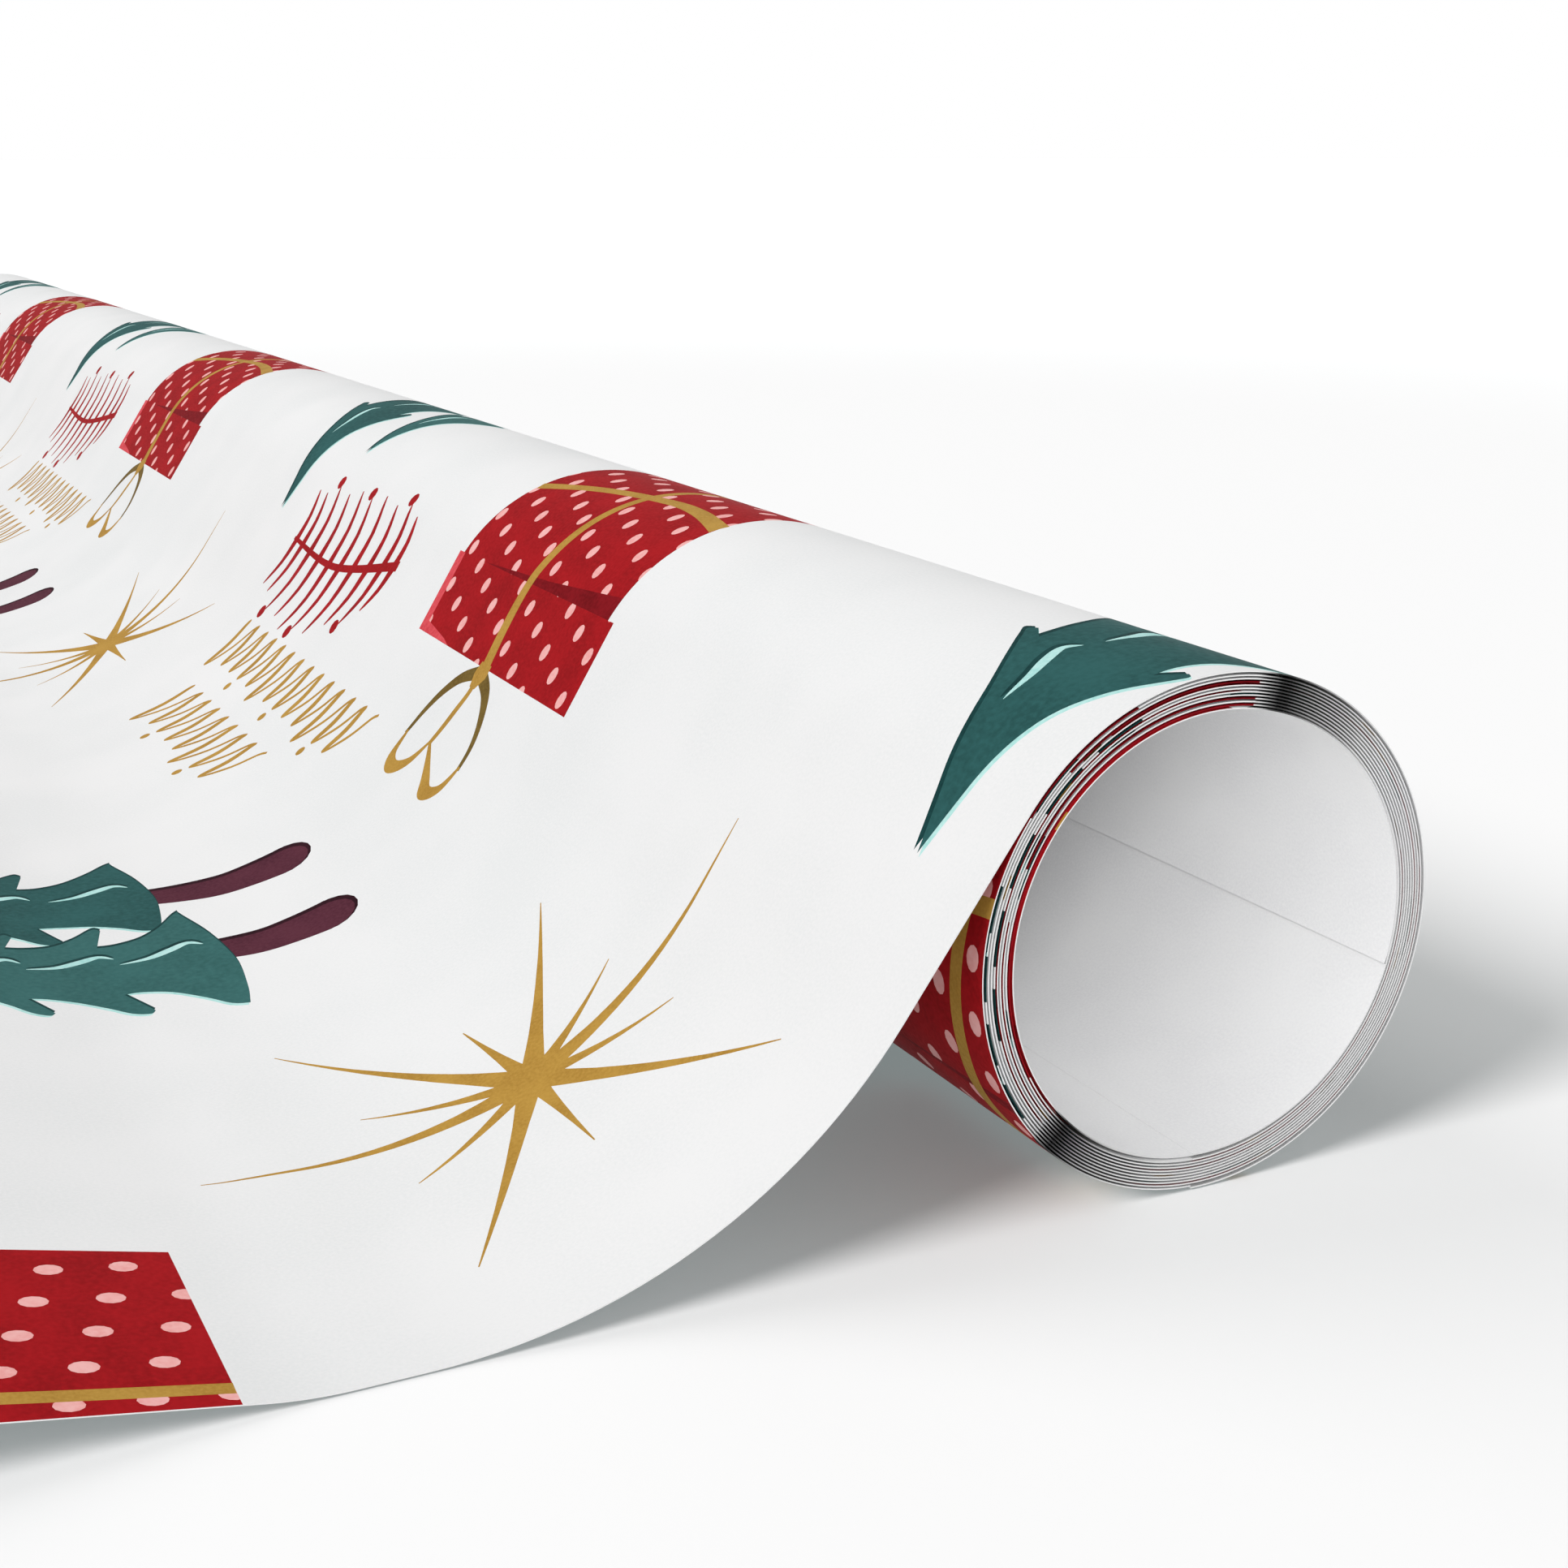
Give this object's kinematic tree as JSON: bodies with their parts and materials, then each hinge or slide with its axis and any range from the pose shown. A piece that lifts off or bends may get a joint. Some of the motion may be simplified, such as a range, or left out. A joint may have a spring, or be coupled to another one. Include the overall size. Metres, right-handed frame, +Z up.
{
  "type": "wrapping paper roll",
  "caption": "Coreless roll of printed gift-wrapping paper, its free end drawn off over the top; the roll unwinds, the end lifts and the turns telescope.",
  "frame": {"origin": "on the surface that the roll rests on, straight below the middle of the roll's axis", "axes": "+X along the roll, -Y the way the sheet is drawn off, +Z up"},
  "size_m": [0.762, 0.187, 0.05],
  "materials": {
    "printed_paper": "smooth matt paper, printed on the outer side",
    "paper_reverse": "plain uncoated reverse of the same paper"
  },
  "bodies": {
    "lifted_wrap": {"lift_curve": "printed_paper", "outer_wrap": "printed_paper"},
    "drawn_sheet": {"floor_sheet": "printed_paper"},
    "free_end": {"free_end": "printed_paper"},
    "wound_roll": {"turn_01": "printed_paper"},
    "turn_02": {"turn_02": "printed_paper"},
    "turn_03": {"turn_03": "printed_paper"},
    "turn_04": {"turn_04": "printed_paper"},
    "turn_05": {"turn_05": "printed_paper"},
    "turn_06": {"turn_06": "printed_paper"},
    "turn_07": {"turn_07": "printed_paper"},
    "turn_08": {"turn_08": "printed_paper"},
    "turn_09": {"turn_09": "printed_paper"},
    "turn_10": {"turn_10": "printed_paper"},
    "inner_turn": {"inner_turn": "paper_reverse"}
  },
  "joints": [
    {"name": "roll_spin", "type": "hinge", "parent": "lifted_wrap", "child": "wound_roll", "pos_m": [0, 0, 0.02498], "axis": [1, 0, 0], "range_deg": [0, 90]},
    {"name": "sheet_draw", "type": "slide", "parent": "lifted_wrap", "child": "drawn_sheet", "axis": [0, -1, 0], "range_m": [0, 0.0392]},
    {"name": "end_lift", "type": "hinge", "parent": "drawn_sheet", "child": "free_end", "pos_m": [0, -0.0817, 0.00012], "axis": [-1, 0, 0], "range_deg": [0, 75]},
    {"name": "turn_02_slide", "type": "slide", "parent": "wound_roll", "child": "turn_02", "axis": [1, 0, 0], "range_m": [-0.006, 0.006]},
    {"name": "turn_03_slide", "type": "slide", "parent": "turn_02", "child": "turn_03", "axis": [1, 0, 0], "range_m": [-0.006, 0.006]},
    {"name": "turn_04_slide", "type": "slide", "parent": "turn_03", "child": "turn_04", "axis": [1, 0, 0], "range_m": [-0.006, 0.006]},
    {"name": "turn_05_slide", "type": "slide", "parent": "turn_04", "child": "turn_05", "axis": [1, 0, 0], "range_m": [-0.006, 0.006]},
    {"name": "turn_06_slide", "type": "slide", "parent": "turn_05", "child": "turn_06", "axis": [1, 0, 0], "range_m": [-0.006, 0.006]},
    {"name": "turn_07_slide", "type": "slide", "parent": "turn_06", "child": "turn_07", "axis": [1, 0, 0], "range_m": [-0.006, 0.006]},
    {"name": "turn_08_slide", "type": "slide", "parent": "turn_07", "child": "turn_08", "axis": [1, 0, 0], "range_m": [-0.006, 0.006]},
    {"name": "turn_09_slide", "type": "slide", "parent": "turn_08", "child": "turn_09", "axis": [1, 0, 0], "range_m": [-0.006, 0.006]},
    {"name": "turn_10_slide", "type": "slide", "parent": "turn_09", "child": "turn_10", "axis": [1, 0, 0], "range_m": [-0.006, 0.006]},
    {"name": "inner_turn_slide", "type": "slide", "parent": "turn_10", "child": "inner_turn", "axis": [1, 0, 0], "range_m": [-0.006, 0.006]}
  ],
  "couplings": [
    {"joint": "sheet_draw", "follows": "roll_spin", "m_per_rad": 0.02494},
    {"joint": "turn_03_slide", "follows": "turn_02_slide", "ratio": 1},
    {"joint": "turn_04_slide", "follows": "turn_02_slide", "ratio": 1},
    {"joint": "turn_05_slide", "follows": "turn_02_slide", "ratio": 1},
    {"joint": "turn_06_slide", "follows": "turn_02_slide", "ratio": 1},
    {"joint": "turn_07_slide", "follows": "turn_02_slide", "ratio": 1},
    {"joint": "turn_08_slide", "follows": "turn_02_slide", "ratio": 1},
    {"joint": "turn_09_slide", "follows": "turn_02_slide", "ratio": 1},
    {"joint": "turn_10_slide", "follows": "turn_02_slide", "ratio": 1},
    {"joint": "inner_turn_slide", "follows": "turn_02_slide", "ratio": 1}
  ]
}
